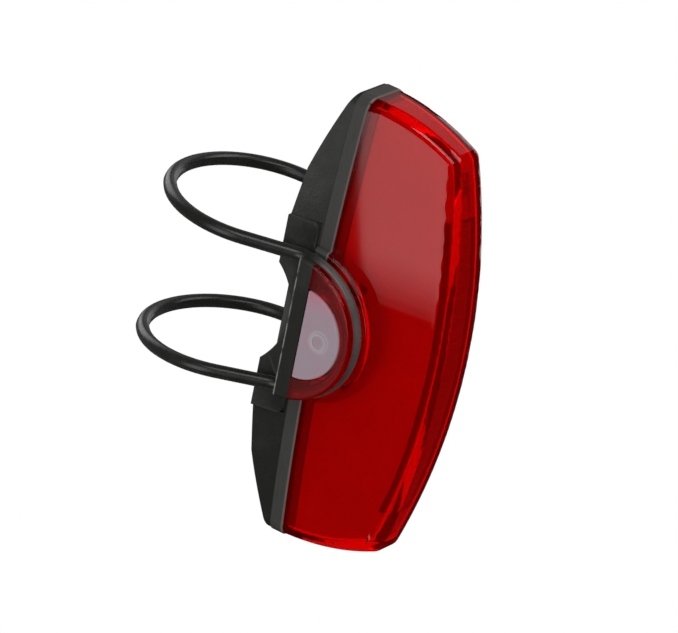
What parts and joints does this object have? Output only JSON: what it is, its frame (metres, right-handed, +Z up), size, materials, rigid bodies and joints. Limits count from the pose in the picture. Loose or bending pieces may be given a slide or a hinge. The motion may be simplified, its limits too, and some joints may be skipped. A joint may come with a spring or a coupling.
{
  "type": "bike rear light",
  "caption": "Slim upright bike rear light with a keel-shaped red lens, a black hollow-backed housing with side ears, a side button, a charging cover and a rubber strap for a round seatpost.",
  "frame": {"origin": "on the seatpost's axis, at the light's mid height", "axes": "+Z up along the seatpost, the light shines towards -Y, the power button is on the -X ear"},
  "size_m": [0.0312, 0.056, 0.0762],
  "materials": {
    "lens_red": "clear red polycarbonate, polished",
    "housing_black": "black plastic, fine satin grain",
    "saddle_rubber": "soft black rubber",
    "strap_rubber": "black rubber cord",
    "pad_silicone": "translucent white silicone",
    "plated_steel": "nickel plated",
    "dark_plastic": "moulded black plastic",
    "board_green": "green solder mask",
    "cell_foil": "silver foil pouch",
    "foam": "dark foam",
    "light_chip": "yellowish light chip",
    "ceramic_tan": "ceramic",
    "frame_white": "white moulded plastic",
    "diffuser_clear": "frosted red plastic",
    "spot_clear": "clear plastic"
  },
  "bodies": {
    "light": {"outer_lens": "lens_red", "rear_housing": "housing_black", "saddle_pad": "saddle_rubber", "strap_ring": "strap_rubber", "lens_seal": "strap_rubber", "usb_shell": "plated_steel", "usb_tongue": "dark_plastic", "main_board": "board_green", "board_screws": "plated_steel", "switch_body": "dark_plastic", "battery_cell": "cell_foil", "battery_foam": "foam", "battery_tabs": "plated_steel", "main_leds": "light_chip", "spot_led": "light_chip", "status_led": "light_chip", "control_chip": "dark_plastic", "power_coil": "dark_plastic", "board_capacitors": "ceramic_tan", "reflector_frame": "frame_white", "diffuser_bar": "diffuser_clear", "spot_lens": "spot_clear", "window_bezel": "dark_plastic"},
    "button": {"power_button": "pad_silicone", "switch_plunger": "dark_plastic"},
    "cover": {"usb_cover": "pad_silicone"}
  },
  "joints": [
    {"name": "button_press", "type": "slide", "parent": "light", "child": "button", "axis": [1, 0, 0], "range_m": [0, 0.0005], "stiffness_N_per_m": 2000},
    {"name": "cover_hinge", "type": "hinge", "parent": "light", "child": "cover", "pos_m": [0.0119, -0.019, 0], "axis": [0, 0, 1], "range_deg": [0, 110]}
  ]
}
